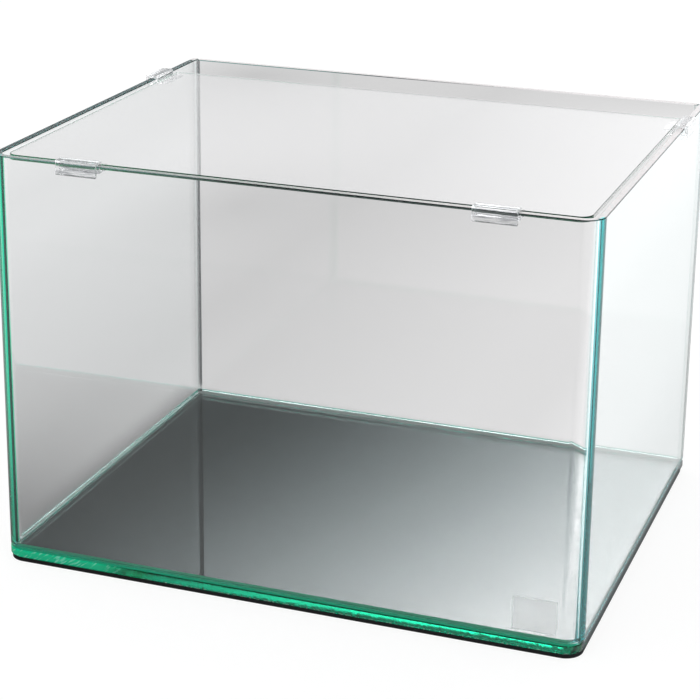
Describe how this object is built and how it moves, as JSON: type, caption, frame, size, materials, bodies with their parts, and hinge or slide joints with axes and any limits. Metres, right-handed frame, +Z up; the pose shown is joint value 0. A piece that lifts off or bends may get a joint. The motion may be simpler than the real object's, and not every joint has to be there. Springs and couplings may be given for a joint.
{
  "type": "nano aquarium",
  "caption": "Frameless glass nano aquarium with a bent front sheet, clear silicone seams, a foam mat and a loose cover glass on clear rim clips.",
  "frame": {"origin": "middle of the foam mat's underside, under the centre of the tank", "axes": "+Z up, +X to the viewer's right along the front pane, front pane faces -Y"},
  "size_m": [0.4046, 0.3223, 0.2853],
  "materials": {
    "foam_mat": "closed-cell foam, matt black",
    "floor_glass": "clear float glass, polished green edge",
    "pane_glass": "clear float glass, polished green edge",
    "lid_glass": "clear float glass, ground edge",
    "silicone": "translucent silicone, smooth",
    "clear_plastic": "clear moulded plastic, glossy"
  },
  "bodies": {
    "tank": {"base_mat": "foam_mat", "floor_glass": "floor_glass", "bent_front_glass": "pane_glass", "rear_glass": "pane_glass", "floor_seal_front": "silicone", "floor_seal_rear": "silicone", "corner_seal_left": "silicone", "corner_seal_right": "silicone"},
    "cover_glass": {"lid_glass": "lid_glass"},
    "clip_front_left": {"lid_clip_front_left": "clear_plastic"},
    "clip_front_right": {"lid_clip_front_right": "clear_plastic"},
    "clip_left": {"lid_clip_left": "clear_plastic"},
    "clip_right": {"lid_clip_right": "clear_plastic"}
  },
  "joints": [
    {"name": "cover_glass_lift", "type": "slide", "parent": "tank", "child": "cover_glass", "axis": [0, 0, 1], "range_m": [0, 0.15]},
    {"name": "clip_front_left_slide", "type": "slide", "parent": "tank", "child": "clip_front_left", "axis": [1, 0, 0], "range_m": [-0.03, 0.1]},
    {"name": "clip_front_right_slide", "type": "slide", "parent": "tank", "child": "clip_front_right", "axis": [1, 0, 0], "range_m": [-0.1, 0.03]},
    {"name": "clip_left_slide", "type": "slide", "parent": "tank", "child": "clip_left", "axis": [0, 1, 0], "range_m": [-0.1, 0.02]},
    {"name": "clip_right_slide", "type": "slide", "parent": "tank", "child": "clip_right", "axis": [0, 1, 0], "range_m": [-0.1, 0.02]}
  ]
}
